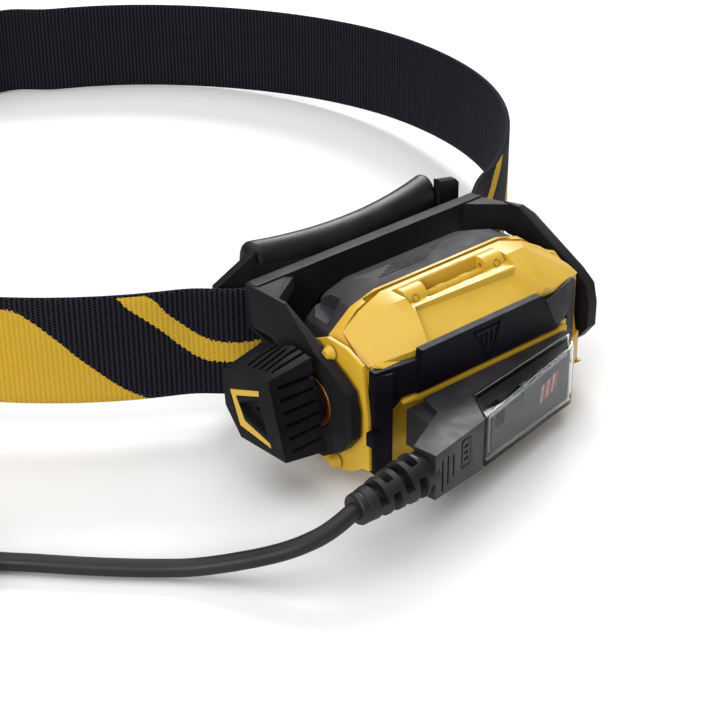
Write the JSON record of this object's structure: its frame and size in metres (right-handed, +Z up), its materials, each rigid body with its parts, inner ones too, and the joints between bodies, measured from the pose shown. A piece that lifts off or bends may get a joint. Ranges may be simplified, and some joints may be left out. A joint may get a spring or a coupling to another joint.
{
  "type": "rechargeable miner's cap lamp",
  "caption": "Head-mounted miner's lamp tilting in a padded cradle with a woven headband, battery cover, latch, mode knob and a docked charging lead.",
  "frame": {"origin": "centre of the underside of the lamp with its headband, on the surface it stands on; the loose charging lead isn't counted", "axes": "+X along the tilt axis, away from the mode knob; +Y from the battery side through the lens and cradle to the back of the headband; +Z up"},
  "size_m": [0.2635, 0.258, 0.0368],
  "materials": {
    "yellow_shell": "satin moulded plastic",
    "yellow_cover": "satin moulded plastic",
    "grey_rubber": "matt moulded rubber",
    "dark_hub": "satin",
    "black_frame": "semi-gloss moulded plastic",
    "black_latch": "fine texture",
    "black_knob": "matt",
    "yellow_inlay": "satin",
    "pad_foam": "foam with knit face",
    "webbing": "woven elastic, black with yellow stripes",
    "buckle": "satin",
    "clear_lens": "polished",
    "clear_window": "polished clear plastic",
    "mirror_metal": "polished",
    "metal": "satin",
    "brass": "satin",
    "board": "lacquered",
    "emitter": "gloss",
    "cell_wrap": "film wrap",
    "inner_black": "matt",
    "connector_shell": "fine spark texture",
    "indicator": "gloss",
    "cord_jacket": "matt",
    "tie": "hook-and-loop"
  },
  "bodies": {
    "lamp": {"lamp_housing": "yellow_shell", "side_cap_left": "yellow_shell", "side_cap_right": "yellow_shell", "pivot_stub_left": "dark_hub", "pivot_stub_right": "dark_hub", "pivot_cap_right": "dark_hub", "front_bezel": "grey_rubber", "lens": "clear_lens", "reflector": "mirror_metal", "led_board": "board", "led_flood": "emitter", "led_spot": "emitter", "heat_sink": "metal", "control_board": "board", "battery_tray": "inner_black", "battery_cell_left": "cell_wrap", "battery_cell_right": "cell_wrap", "battery_board": "board", "battery_contact_left": "brass", "battery_contact_right": "brass", "charge_pad_left": "brass", "charge_pad_right": "brass", "hinge_pin": "metal"},
    "battery_lid": {"battery_cover": "yellow_cover"},
    "latch": {"front_latch": "black_latch"},
    "mode_knob": {"selector_knob": "black_knob", "knob_inlay": "yellow_inlay", "knob_screw": "metal", "switch_shaft": "metal"},
    "cradle": {"cradle_frame": "black_frame", "pivot_bush_left": "metal", "pivot_bush_right": "metal", "pad_shell": "black_frame", "forehead_pad": "pad_foam", "headband": "webbing"},
    "adjuster": {"strap_adjuster": "buckle"},
    "charger": {"connector_body": "connector_shell", "connector_window": "clear_window", "connector_board": "board", "charge_indicator": "indicator", "contact_pin_left": "brass", "contact_pin_right": "brass", "strain_relief": "cord_jacket", "cord_lead": "cord_jacket", "cord_coil": "cord_jacket", "coil_tie": "tie", "cord_tail": "cord_jacket", "plug_grip": "cord_jacket", "plug_shell": "metal", "plug_tongue": "inner_black"}
  },
  "joints": [
    {"name": "lamp_tilt", "type": "hinge", "parent": "lamp", "child": "cradle", "pos_m": [0, -0.0933, 0.017], "axis": [1, 0, 0], "range_deg": [0, 28]},
    {"name": "battery_cover_hinge", "type": "hinge", "parent": "lamp", "child": "battery_lid", "pos_m": [0.0025, -0.0934, 0.0339], "axis": [-1, 0, 0], "range_deg": [0, 90]},
    {"name": "latch_release", "type": "hinge", "parent": "lamp", "child": "latch", "pos_m": [0, -0.1082, 0.0275], "axis": [-1, 0, 0], "range_deg": [0, 12], "stiffness_Nm_per_rad": 0.05, "springref_deg": -5.73},
    {"name": "mode_knob_turn", "type": "hinge", "parent": "lamp", "child": "mode_knob", "pos_m": [-0.043, -0.0933, 0.017], "axis": [1, 0, 0], "range_deg": [-75, 75]},
    {"name": "adjuster_slide", "type": "slide", "parent": "cradle", "child": "adjuster", "axis": [1, 0, 0], "range_m": [-0.012, 0.012]},
    {"name": "charger_undock", "type": "slide", "parent": "lamp", "child": "charger", "axis": [0, -1, 0], "range_m": [0, 0.025]}
  ]
}
